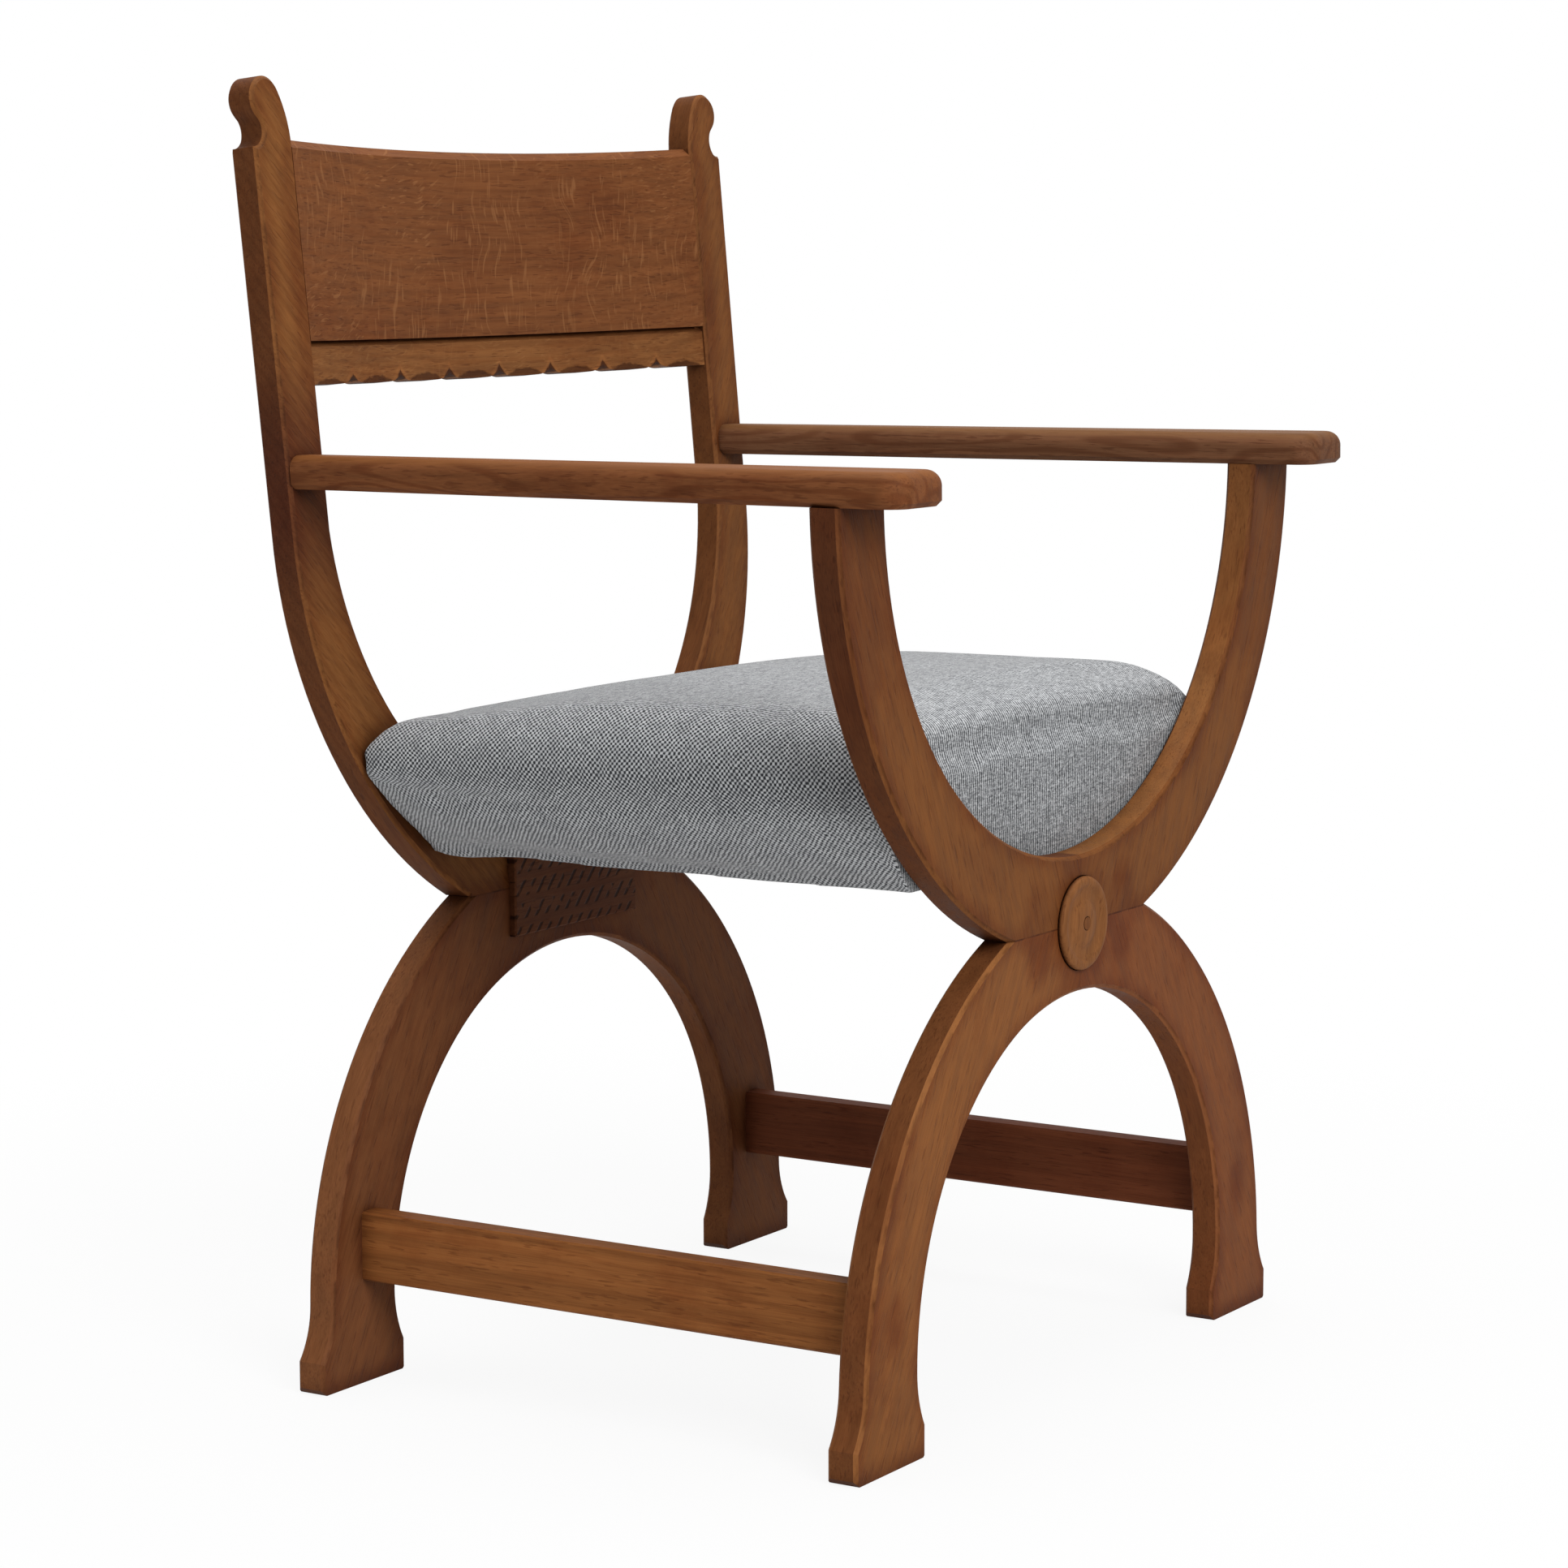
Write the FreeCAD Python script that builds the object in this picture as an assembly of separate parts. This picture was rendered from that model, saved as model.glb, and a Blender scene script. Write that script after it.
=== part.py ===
import FreeCAD, Part
import math
import os

# Oak armchair with crossed front and back frames, and an upholstered seat between them.
# Millimetres, +Z up. The sitter faces -Y, so the sitter's left hand is on +X.
# The origin is on the floor, in the middle of the chair's box.
# Sizes on the back posts are measured along the posts, before they lean back.

# Frames
plank = 23.0                    # thickness of the planks that both frames are cut from
frame_gap = 411.5               # clear space between the front frame and the back legs
joint_height = 332.0            # level where the legs meet the uprights and posts
back_lean = 5.73                # degrees that the back posts lean back
edge_chamfer = 2.6              # worn arris along the cut edges of the planks

# Front uprights, which form a U
u_inner_radius = 266.8
u_web = 48.0                    # wood between the joint and the bottom of the U
u_outer_radius = 341.0
upright_outer = 325.4           # half the width over both uprights, under the arms
front_notch = 100.5             # half the width of the front crossing at its notches

# Legs, which form an arch
arch_radius = 222.0
arch_web = 48.5                 # wood between the top of the arch and the joint
leg_outer_radius = 309.0
ankle_height = 60.0
front_ankle = 289.8             # half the width over the ankles of the front legs
back_ankle = 295.3
toe_flare = 13.0                # how far the toe stands out past the ankle
heel = 212.3                    # half the width between the feet
toe_height = 23.0               # upright edge of the foot, under its flare
sole_bevel = 4.0

# Back posts
back_notch = 126.0
post_inner_radius = 255.0
post_web = 42.0                 # wood between the joint and the lowest point between the posts
post_bend_rise = 275.0          # over the joint, where the curve of a post becomes straight
post_inner_low = 249.3          # half the width between the posts at that height
post_outer_radius = 312.0
post_outer_low = 290.0
shoulder_height = 874.0
post_inner_high = 251.5         # half the width between the posts at the shoulder
post_outer_high = 293.2

# Finials
finial_rise = 49.0              # top of the finial over the shoulder
knob_radius = 16.0              # round head
knob_inset = 1.0                # head inside the outer edge of the post
knob_under = 52.0               # degrees that the head runs on under its widest point, into the cove
knob_over = 60.0                # degrees that the head runs on past its top

# Arms
arm_height = 640.0              # underside over the uprights
arm_fall = 0.5                  # degrees that the arms fall towards the back
arm_thick = 23.2
arm_overhang = 47.5             # in front of the uprights
arm_outer_front = 330.0
arm_inner_front = 265.0
arm_outer_back = 286.0
arm_inner_back = 254.0
arm_corner = 17.0
arm_round = 10.5                # upper edges
arm_bevel = 3.5                 # lower edges

# Back board and scalloped rail
panel_over = 6.0                # ends of its top edge over the shoulders
panel_height = 140.5
panel_bow = 20.0                # how far the middle stands behind the ends
panel_thick = 18.0
panel_recess = 1.5              # ends behind the faces of the posts
panel_top_bevel = 6.0
panel_top_dip = 4.0             # hollow of the top edge
apron_height = 30.5
apron_set_back = 2.0            # face of the rail behind the face of the board
apron_thick = 14.0
apron_chamfer = 4.0
scallop_notches = 7
scallop_pitch = 64.5
scallop_depth = 5.0
scallop_round = 16.0            # half the width of a notch between two scallops
tongue_thick = 8.0
tongue_length = 10.0
tongue_stop = 12.0              # tongue ends this far under the top edge

# Stretchers
stretcher_foot = 74.5
stretcher_height = 49.5
stretcher_thick = 19.0
stretcher_chamfer = 1.5

# Rosette and crossing blocks
rosette_radius = 33.5
rosette_recess = 4.0
rosette_proud = 5.0             # rim over the face of the frame
bead_width = 8.0                # raised rim
bead_bevel = 2.0
ring_depth = 2.5                # flat ring inside the rim
boss_radius = 15.5
boss_rise = 3.0
plug_radius = 4.5
plug_depth = 4.0
block_half_width = 79.0
block_drop = 36.0               # block under the joint
block_thick = 5.5
block_chamfer = 1.2

# Joinery
tenon_thick = 10.0
tenon_length = 15.0
tenon_shoulder = 9.0            # wood left beside a tenon
slip_length = 56.0              # loose tenons across the crossings
slip_width = 24.0
slip_spread = 60.0              # upright loose tenons from the middle
arm_slip_length = 36.0          # loose tenons from the arms into the posts
arm_slip_width = 18.0
fit_gap = 0.1                   # glue gap around tenons and the rosette
end_gap = 1.0                   # spare depth at the end of a tenon

# Seat, built level and then tilted
seat_tilt = 0.75                # degrees that the seat falls towards the back
seat_gap = 0.4                  # between the seat and what stands beside it
seat_rise = 45.0                # underside over the joint, at the front
seat_foot_front = 200.0         # half the width of the underside at the front
seat_foot_back = 170.0
bulge_half = 238.0              # half the width at the widest part of the sides, at the ends
bulge_rise = 67.0               # that part over the underside
side_swell = 13.0               # how much wider the seat is in the middle of its length
crown_front = 127.0             # top over the underside, near the front
crown_middle = 128.0
crown_back = 100.0
side_roll = 0.82                # radius of the rolled sides, as a share of their height
front_roll = 46.0               # length over which the top rolls down to the front
front_drop = 33.0
back_roll = 24.0
back_drop = 24.0
corner_draw = 4.0               # sides drawn in at the corners
brow_angle = 85.0               # degrees that the rolled sides run on over their widest part
waist_angle = 25.0              # and under it
seat_sections = 19
cover_thick = 2.0
cover_hem = 20.0                # cover turned in under the frame
foam_thick = 42.0
foam_inset = 20.0               # ends of the foam behind the faces of the seat's frame
foam_gap = 0.4
seat_rail_height = 32.0
seat_rail_width = 24.0
seat_rail_inset = 6.0           # side rails behind the lower edge of the cover
corner_leg = 42.0
corner_height = 22.0
strap_width = 50.0
strap_thick = 2.0
strap_count = 3
strap_lap = 16.0                # strap lying on a rail
dust_cover_thick = 1.0
screw_radius = 2.2
screw_head_radius = 4.4
screw_head = 3.0
screw_bite = 14.0               # length of a screw in the frame
screw_rise = 8.0                # screws over the underside of the rails
screw_clear = 6.0               # between a screw's head and a corner block

# Derived places
far = 2000.0                    # reach of cutting blocks
touch = 0.01                    # places closer than this are the same place
lean = math.radians(back_lean)
tilt = math.radians(seat_tilt)
finial_top = shoulder_height + finial_rise
panel_top = shoulder_height + panel_over
panel_foot = panel_top - panel_height
finial_reach = plank * math.cos(lean) + (finial_top - joint_height) * math.sin(lean)
panel_reach = ((panel_recess + panel_bow + panel_thick) * math.cos(lean)
               + (panel_top - panel_top_dip - panel_top_bevel - joint_height) * math.sin(lean))
back_reach = max(finial_reach, panel_reach)
arm_front = -(arm_overhang + plank + frame_gap + back_reach) / 2
front_face = arm_front + arm_overhang
front_rear = front_face + plank
back_face = front_rear + frame_gap
u_bottom = joint_height + u_web
u_centre = u_bottom + u_inner_radius
upright_inner = math.sqrt(u_inner_radius ** 2 - (u_centre - arm_height) ** 2)
arch_top = joint_height - arch_web
arch_centre = arch_top - arch_radius
apron_foot = panel_foot - apron_height
stretcher_middle = stretcher_foot + stretcher_height / 2
post_bend_height = joint_height + post_bend_rise
seat_foot = joint_height + seat_rise
seat_drop = frame_gap * math.sin(tilt)

os.makedirs("parts", exist_ok=True)


def vec(x, y, z):
    return FreeCAD.Vector(x, y, z)


def near(value, level):
    return abs(value - level) < touch


def box(low, high):
    return Part.makeBox(high[0] - low[0], high[1] - low[1], high[2] - low[2], vec(*low))


def rod(start, direction, length, radius):
    return Part.makeCylinder(radius, length, vec(*start), vec(*direction))


def mirrored(shape):
    return shape.mirror(vec(0, 0, 0), vec(1, 0, 0))


def leaned(shape):
    """Turns a shape of the back frame backwards about the front edge of its joint."""
    turned = shape.copy()
    turned.rotate(vec(0, back_face, joint_height), vec(1, 0, 0), -back_lean)
    return turned


def tilted(shape):
    """Turns a shape of the level seat about its lower front edge."""
    turned = shape.copy()
    turned.rotate(vec(0, front_rear, seat_foot), vec(1, 0, 0), -seat_tilt)
    return turned


def fallen(shape):
    """Turns a shape of the level arms about the tops of the uprights."""
    turned = shape.copy()
    turned.rotate(vec(0, front_face + plank / 2, arm_height), vec(1, 0, 0), -arm_fall)
    return turned


def post_face(height):
    """Y of the front faces of the leaning posts at a height over the floor."""
    return back_face + (height - joint_height) * math.tan(lean)


def export(name, *solids):
    shape = solids[0] if len(solids) == 1 else Part.Compound(list(solids))
    shape.exportStep("parts/" + name + ".step")


def export_pair(name, left):
    export(name + "_left", left)
    export(name + "_right", mirrored(left))


# Outlines are lists of steps. A step is an end point and the radius of the arc that leads there:
# 0 is a straight line, a positive radius bulges to the left of the travel, a negative one to the right.
def arc_middle(start, end, radius):
    across = end[0] - start[0]
    up = end[1] - start[1]
    chord = math.hypot(across, up)
    bulge = abs(radius) - math.sqrt(radius ** 2 - chord ** 2 / 4)
    side = math.copysign(bulge / chord, radius)
    return (start[0] + end[0]) / 2 - up * side, (start[1] + end[1]) / 2 + across * side


def arc_centre(start, end, radius):
    middle = arc_middle(start, end, radius)
    inward = ((start[0] + end[0]) / 2 - middle[0], (start[1] + end[1]) / 2 - middle[1])
    scale = abs(radius) / math.hypot(*inward)
    return middle[0] + inward[0] * scale, middle[1] + inward[1] * scale


def arc_reach(start, end, radius, height):
    """X at a height on the right-hand side of the arc between two points."""
    centre = arc_centre(start, end, radius)
    return centre[0] + math.sqrt(radius ** 2 - (height - centre[1]) ** 2)


def bulge_radius(chord, bulge):
    return (chord ** 2 / 4 + bulge ** 2) / (2 * bulge)


def tangent_radius(start, heading, end):
    """Radius of the arc that leaves a point in a direction and runs to another point."""
    turn = math.remainder(math.atan2(end[1] - start[1], end[0] - start[0]) - heading, 2 * math.pi)
    return 0 if near(turn, 0) else -math.dist(start, end) / 2 / math.sin(turn)


def wire(start, steps, place):
    edges = []
    here = start
    for end, radius in steps:
        if radius == 0:
            edges.append(Part.makeLine(place(here), place(end)))
        else:
            middle = arc_middle(here, end, radius)
            edges.append(Part.Arc(place(here), place(middle), place(end)).toShape())
        here = end
    return Part.Wire(edges)


def board(start, steps, front, thick):
    """Board with an outline in XZ and its front face at the given Y."""
    outline = wire(start, steps, lambda p: vec(p[0], front, p[1]))
    return Part.Face(outline).extrude(vec(0, thick, 0))


def plan_board(start, steps, low, thick):
    """Board with an outline in XY that lies on the given height."""
    outline = wire(start, steps, lambda p: vec(p[0], p[1], low))
    return Part.Face(outline).extrude(vec(0, 0, thick))


def side_board(start, steps, low, width):
    """Board with an outline in YZ that runs along X from the given place."""
    outline = wire(start, steps, lambda p: vec(low, p[0], p[1]))
    return Part.Face(outline).extrude(vec(width, 0, 0))


def middle_of(edge):
    return edge.valueAt((edge.FirstParameter + edge.LastParameter) / 2)


def worn(shape, front, is_joint):
    """Chamfers the edges of a plank's two faces, except those at its joints."""
    chosen = []
    for edge in shape.Edges:
        levels = [vertex.Point.y for vertex in edge.Vertexes]
        flat = any(all(near(y, face) for y in levels) for face in (front, front + plank))
        if flat and not is_joint(middle_of(edge)):
            chosen.append(edge)
    return shape.makeChamfer(edge_chamfer, chosen)


# Frame planks
def front_upright():
    top = arm_height + tenon_length
    outline = [
        ((front_notch, joint_height), 0),
        ((upright_outer, arm_height), -u_outer_radius),
        ((upright_outer, top), 0),
        ((upright_inner, top), 0),
        ((upright_inner, arm_height), 0),
        ((0, u_bottom), u_inner_radius),
        ((0, joint_height), 0),
    ]
    plain = board((0, joint_height), outline, front_face, plank)
    shaped = worn(plain, front_face, lambda p: near(p.x, 0) or near(p.z, joint_height) or near(p.z, top))
    above = fallen(box((-far, -far, arm_height), (far, far, far)))
    return shaped.cut(above).fuse(fallen(upright_tenon(0))).removeSplitter()


def upright_tenon(gap):
    """Tenon on top of an upright, or its mortise in the arm when a gap is given."""
    middle = front_face + plank / 2
    spare = end_gap if gap else 0
    low = (upright_inner + tenon_shoulder - gap, middle - tenon_thick / 2 - gap, arm_height - spare)
    high = (upright_outer - tenon_shoulder + gap, middle + tenon_thick / 2 + gap,
            arm_height + tenon_length + spare)
    return box(low, high)


def leg(front, notch, ankle):
    """Curved leg for the frame whose front face is given. Its edges run on smoothly into a flared foot."""
    start = (notch, joint_height)
    outer_ankle = (ankle, ankle_height)
    outer_centre = arc_centre(start, outer_ankle, leg_outer_radius)
    inner_ankle = (math.sqrt(arch_radius ** 2 - (ankle_height - arch_centre) ** 2), ankle_height)
    toe = (ankle + toe_flare, toe_height)
    heel_top = (heel, toe_height)
    outer_heading = math.atan2(ankle_height - outer_centre[1], ankle - outer_centre[0]) - math.pi / 2
    inner_heading = math.atan2(ankle_height - arch_centre, inner_ankle[0]) - math.pi / 2
    outline = [
        (start, 0),
        (outer_ankle, leg_outer_radius),
        (toe, tangent_radius(outer_ankle, outer_heading, toe)),
        ((toe[0], sole_bevel), 0),
        ((toe[0] - sole_bevel, 0), 0),
        ((heel + sole_bevel, 0), 0),
        ((heel, sole_bevel), 0),
        (heel_top, 0),
        (inner_ankle, -tangent_radius(inner_ankle, inner_heading, heel_top)),
        ((0, arch_top), -arch_radius),
        ((0, joint_height), 0),
    ]
    plain = board((0, joint_height), outline, front, plank)
    return worn(plain, front, lambda p: near(p.x, 0) or near(p.z, joint_height) or p.z < sole_bevel)


def post_inner(height):
    """Half the clear width between the straight stretches of the posts."""
    share = (height - post_bend_height) / (shoulder_height - post_bend_height)
    return post_inner_low + (post_inner_high - post_inner_low) * share


def finial_steps():
    """Outline of the finial, from the outer shoulder through the cove and over the head."""
    head = (post_outer_high - knob_inset - knob_radius, finial_top - knob_radius)
    under = math.radians(-knob_under)
    over = math.radians(90 + knob_over)
    neck = (head[0] + knob_radius * math.cos(under), head[1] + knob_radius * math.sin(under))
    brow = (head[0] + knob_radius * math.cos(over), head[1] + knob_radius * math.sin(over))
    inner = (post_inner(panel_top), panel_top)
    return [
        (neck, -tangent_radius(neck, under - math.pi / 2, (post_outer_high, shoulder_height))),
        ((head[0], finial_top), -knob_radius),
        (brow, -knob_radius),
        (inner, tangent_radius(brow, over + math.pi / 2, inner)),
    ]


def back_post():
    """Leaning post with its finial, cut level at the joint."""
    foot = joint_height - plank
    outline = [
        ((back_notch, foot), 0),
        ((back_notch, joint_height), 0),
        ((post_outer_low, post_bend_height), -post_outer_radius),
        ((post_outer_high, shoulder_height), 0),
        *finial_steps(),
        ((post_inner_low, post_bend_height), 0),
        ((0, joint_height + post_web), post_inner_radius),
        ((0, foot), 0),
    ]
    plain = board((0, foot), outline, back_face, plank)
    shaped = worn(plain, back_face, lambda p: near(p.x, 0) or p.z < joint_height)
    grooved = shaped.cut(panel_tongue(apron_foot, panel_top, fit_gap))
    below = box((-far, -far, -far), (far, far, joint_height))
    return leaned(grooved).cut(below)


# Loose tenons across the crossings
def slip(front, middle, width, height, gap):
    """Loose tenon in the middle of a plank, or its mortise when a gap is given."""
    depth = front + plank / 2
    low = (middle[0] - width / 2 - gap, depth - tenon_thick / 2 - gap, middle[1] - height / 2 - gap)
    high = (middle[0] + width / 2 + gap, depth + tenon_thick / 2 + gap, middle[1] + height / 2 + gap)
    return box(low, high)


def crossing_slips(front, upper_web, place_upper, gap):
    """Two level tenons across the halves of a crossing, and two upright ones across its joint."""
    length = slip_length + (2 * end_gap if gap else 0)
    side = slip(front, (slip_spread, joint_height), slip_width, length, gap)
    return [
        place_upper(slip(front, (0, joint_height + upper_web / 2), length, slip_width, gap)),
        slip(front, (0, joint_height - arch_web / 2), length, slip_width, gap),
        side,
        mirrored(side),
    ]


def front_slips(gap):
    return crossing_slips(front_face, u_web, lambda shape: shape, gap)


def back_slips(gap):
    return crossing_slips(back_face, post_web, leaned, gap)


# Stretchers
def stretcher_place():
    """Middle of the front leg's width at the stretcher's height."""
    outer = arc_reach((front_notch, joint_height), (front_ankle, ankle_height), leg_outer_radius,
                      stretcher_middle)
    inner = math.sqrt(arch_radius ** 2 - (stretcher_middle - arch_centre) ** 2)
    return (outer + inner) / 2


def stretcher_tenons(gap):
    """Both tenons of the left stretcher, or their mortises when a gap is given."""
    middle = stretcher_place()
    reach = tenon_length + (end_gap if gap else 0)
    low = (middle - tenon_thick / 2 - gap, front_rear - reach, stretcher_foot + tenon_shoulder - gap)
    high = (middle + tenon_thick / 2 + gap, back_face + reach,
            stretcher_foot + stretcher_height - tenon_shoulder + gap)
    return box(low, high)


def stretcher():
    middle = stretcher_place()
    bar = box((middle - stretcher_thick / 2, front_rear, stretcher_foot),
              (middle + stretcher_thick / 2, back_face, stretcher_foot + stretcher_height))
    long_edges = [edge for edge in bar.Edges if near(edge.Length, frame_gap)]
    return bar.makeChamfer(stretcher_chamfer, long_edges).fuse(stretcher_tenons(0)).removeSplitter()


# Arms
def arm_slip(gap):
    """Loose tenon from the left arm into its post, or its mortise when a gap is given."""
    middle = (arm_inner_back + arm_outer_back) / 2
    height = arm_height + arm_thick / 2
    reach = arm_slip_length / 2 + (end_gap if gap else 0)
    low = (middle - arm_slip_width / 2 - gap, post_face(height) - reach, height - tenon_thick / 2 - gap)
    high = (middle + arm_slip_width / 2 + gap, post_face(height) + reach, height + tenon_thick / 2 + gap)
    return fallen(box(low, high))


def arm_rim(shape, height, back):
    """Edges round the arm at a height, except the one at its back end."""
    return [edge for edge in shape.Edges
            if near(middle_of(edge).z, height) and not near(middle_of(edge).y, back)]


def armrest():
    """Tapering arm with worked edges, cut to the face of the leaning post."""
    back = post_face(arm_height) + 2 * arm_thick
    arm_top = arm_height + arm_thick
    plan = [
        ((arm_outer_front, arm_front), 0),
        ((arm_outer_back, back), 0),
        ((arm_inner_back, back), 0),
        ((arm_inner_front, arm_front), 0),
    ]
    blank = plan_board((arm_inner_front, arm_front), plan, arm_height, arm_thick)
    corners = [edge for edge in blank.Edges
               if near(middle_of(edge).z, arm_height + arm_thick / 2) and near(middle_of(edge).y, arm_front)]
    blank = blank.makeFillet(arm_corner, corners)
    blank = blank.makeFillet(arm_round, arm_rim(blank, arm_top, back))
    blank = blank.makeChamfer(arm_bevel, arm_rim(blank, arm_height, back))
    blank = fallen(blank.cut(upright_tenon(fit_gap))).cut(arm_slip(fit_gap))
    return blank.cut(leaned(box((-far, back_face, -far), (far, far, far))))


# Back board and the rail under it, on one bow
def bowed_slab(set_back, thick, low, high):
    """Slab that bows backwards, its face set back from the faces of the posts at its ends."""
    radius = bulge_radius(2 * post_inner_high, panel_bow)
    centre = back_face + panel_recess + panel_bow - radius
    near_radius = radius + set_back
    far_radius = near_radius + thick
    half = post_outer_high
    near_end = centre + math.sqrt(near_radius ** 2 - half ** 2)
    far_end = centre + math.sqrt(far_radius ** 2 - half ** 2)
    outline = [
        ((half, near_end), near_radius),
        ((half, far_end), 0),
        ((-half, far_end), -far_radius),
        ((-half, near_end), 0),
    ]
    return plan_board((-half, near_end), outline, low, high - low)


def panel_tongue(low, high, gap):
    """Tongues of the board or rail at both ends, or their grooves when a gap is given."""
    spare = end_gap if gap else 0
    front = back_face + panel_recess + (panel_thick - tongue_thick) / 2
    reach = post_inner_high + tongue_length + spare
    left = box((post_inner_low - tongue_length / 2, front - gap, low),
               (reach, front + tongue_thick + gap, high - tongue_stop + spare))
    return left.fuse(mirrored(left))


def back_panel():
    low = post_inner(panel_foot)
    high = post_inner(panel_top)
    outline = [
        ((low, panel_foot), 0),
        ((high, panel_top), 0),
        ((-high, panel_top), bulge_radius(2 * high, panel_top_dip)),
        ((-low, panel_foot), 0),
    ]
    slab = bowed_slab(0, panel_thick, panel_foot, panel_top)
    shaped = slab.common(board((-low, panel_foot), outline, back_face - far, 2 * far))
    ridge = [edge for edge in shaped.Edges
             if near(middle_of(edge).x, 0) and near(middle_of(edge).z, panel_top - panel_top_dip)]
    shaped = shaped.makeChamfer(panel_top_bevel, ridge)
    return leaned(shaped.fuse(panel_tongue(panel_foot, panel_top, 0)).removeSplitter())


def scalloped_rail():
    low = post_inner(apron_foot)
    high = post_inner(panel_foot)
    notch_round = (scallop_round ** 2 + scallop_depth ** 2) / (2 * scallop_depth)
    outline = []
    for index in range(scallop_notches):
        place = (index - (scallop_notches - 1) / 2) * scallop_pitch
        outline.append(((place - scallop_round, apron_foot), 0))
        outline.append(((place, apron_foot + scallop_depth), -notch_round))
        outline.append(((place + scallop_round, apron_foot), -notch_round))
    outline += [
        ((low, apron_foot), 0),
        ((high, panel_foot), 0),
        ((-high, panel_foot), 0),
        ((-low, apron_foot), 0),
    ]
    slab = bowed_slab(apron_set_back, apron_thick, apron_foot, panel_foot)
    crest = [edge for edge in slab.Edges
             if near(middle_of(edge).z, panel_foot) and near(middle_of(edge).x, 0)]
    crest.sort(key=lambda edge: middle_of(edge).y)
    slab = slab.makeChamfer(apron_chamfer, crest[:1])
    shaped = slab.common(board((-low, apron_foot), outline, back_face - far, 2 * far))
    tongues = panel_tongue(apron_foot + scallop_depth, panel_foot + tongue_stop, 0)
    return leaned(shaped.fuse(tongues).removeSplitter())


# Rosette and crossing blocks
def turned(start, steps):
    """Turned piece on the front crossing: outline in radius and height over the front face."""
    outline = wire(start, steps, lambda p: vec(p[0], front_face - p[1], joint_height))
    return Part.Face(outline).revolve(vec(0, 0, joint_height), vec(0, 1, 0), 360)


def plug_floor():
    return rosette_proud - ring_depth + boss_rise - plug_depth


def rosette():
    """Disc with a raised rim, a sunk ring and a boss that the plug sits in."""
    ring = rosette_proud - ring_depth
    bead_inner = rosette_radius - bead_width
    hole = plug_radius + fit_gap
    outline = [
        ((rosette_radius, -rosette_recess), 0),
        ((rosette_radius, rosette_proud - bead_bevel), 0),
        ((rosette_radius - bead_bevel, rosette_proud), 0),
        ((bead_inner, rosette_proud), 0),
        ((bead_inner, ring), 0),
        ((boss_radius, ring), 0),
        ((boss_radius, ring + boss_rise), 0),
        ((hole, ring + boss_rise), 0),
        ((hole, plug_floor()), 0),
        ((0, plug_floor()), 0),
        ((0, -rosette_recess), 0),
    ]
    return turned((0, -rosette_recess), outline)


def rosette_plug():
    """Plug with its flat end level with the top of the boss."""
    return rod((0, front_face - plug_floor(), joint_height), (0, -1, 0), plug_depth, plug_radius)


def rosette_seat():
    return rod((0, front_face - end_gap, joint_height), (0, 1, 0), rosette_recess + end_gap,
               rosette_radius + fit_gap)


def eased(shape, face):
    """Chamfers the four edges around the open face of a crossing block."""
    rim = [edge for edge in shape.Edges if all(near(vertex.Y, face) for vertex in edge.Vertexes)]
    return shape.makeChamfer(block_chamfer, rim)


def front_block():
    top = seat_foot - block_thick * math.tan(tilt) - seat_gap
    open_face = front_rear + block_thick
    plain = box((-block_half_width, front_rear, joint_height - block_drop),
                (block_half_width, open_face, top))
    return eased(plain, open_face)


def back_block():
    """Block that fits the legs below the joint and the leaning posts above it."""
    foot = joint_height - block_drop
    top = seat_foot - (frame_gap + block_thick) * math.tan(tilt) - seat_gap
    open_face = back_face - block_thick
    outline = [
        ((back_face, foot), 0),
        ((back_face, joint_height), 0),
        ((post_face(top), top), 0),
        ((open_face, top), 0),
        ((open_face, foot), 0),
    ]
    return eased(side_board((open_face, foot), outline, -block_half_width, 2 * block_half_width), open_face)


# Seat
seat_front = front_rear + seat_gap
seat_back = post_face(seat_foot - seat_drop) - seat_gap
seat_rail_foot = seat_foot + cover_thick
seat_rail_half = seat_foot_back - seat_rail_inset
rail_front = seat_front + cover_thick + foam_gap
rail_back = seat_back - cover_thick - foam_gap
strap_level = seat_rail_foot + seat_rail_height
foam_foot = strap_level + 2 * strap_thick
screw_height = seat_rail_foot + screw_rise
screw_place = seat_rail_half - seat_rail_width - corner_leg - screw_clear - screw_head_radius


def end_roll(distance, length):
    """How far the top has rolled over at a distance from an end of the seat, from 0 to 1."""
    reach = max(0, 1 - distance / length)
    return 1 - math.sqrt(1 - reach ** 2)


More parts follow.
